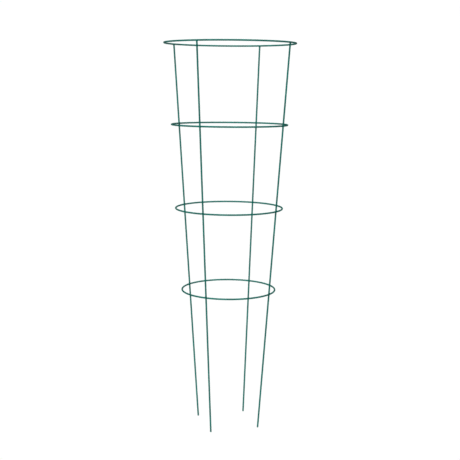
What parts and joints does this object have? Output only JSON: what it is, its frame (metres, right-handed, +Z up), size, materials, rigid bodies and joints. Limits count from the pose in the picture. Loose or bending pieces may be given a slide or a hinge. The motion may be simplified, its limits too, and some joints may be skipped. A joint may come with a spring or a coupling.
{
  "type": "garden plant support cage",
  "caption": "Round welded wire plant-support cage in green coated steel: level hoops on straight legs that lean outwards to a wide open top, with free leg tips to push into soil.",
  "frame": {"origin": "on the ground, in the middle of the four leg tips", "axes": "+Z up along the cage's axis; the windows between the legs face +X, -X, +Y and -Y, and -Y is the front"},
  "size_m": [0.3596, 0.3596, 1.0654],
  "materials": {
    "wire_coat": "satin teal-green powder coat over round steel wire",
    "weld_coat": "the same coat over resistance welds, slightly rougher"
  },
  "bodies": {
    "root": {"top_ring": "wire_coat", "upper_ring": "wire_coat", "lower_ring": "wire_coat", "bottom_ring": "wire_coat", "top_ring_closure": "weld_coat", "upper_ring_closure": "weld_coat", "lower_ring_closure": "weld_coat", "bottom_ring_closure": "weld_coat", "leg_back_right": "wire_coat", "leg_back_left": "wire_coat", "leg_front_left": "wire_coat", "leg_front_right": "wire_coat", "weld_top_ring_back_right": "weld_coat", "weld_top_ring_back_left": "weld_coat", "weld_top_ring_front_left": "weld_coat", "weld_top_ring_front_right": "weld_coat", "weld_upper_ring_back_right": "weld_coat", "weld_upper_ring_back_left": "weld_coat", "weld_upper_ring_front_left": "weld_coat", "weld_upper_ring_front_right": "weld_coat", "weld_lower_ring_back_right": "weld_coat", "weld_lower_ring_back_left": "weld_coat", "weld_lower_ring_front_left": "weld_coat", "weld_lower_ring_front_right": "weld_coat", "weld_bottom_ring_back_right": "weld_coat", "weld_bottom_ring_back_left": "weld_coat", "weld_bottom_ring_front_left": "weld_coat", "weld_bottom_ring_front_right": "weld_coat"}
  },
  "joints": []
}
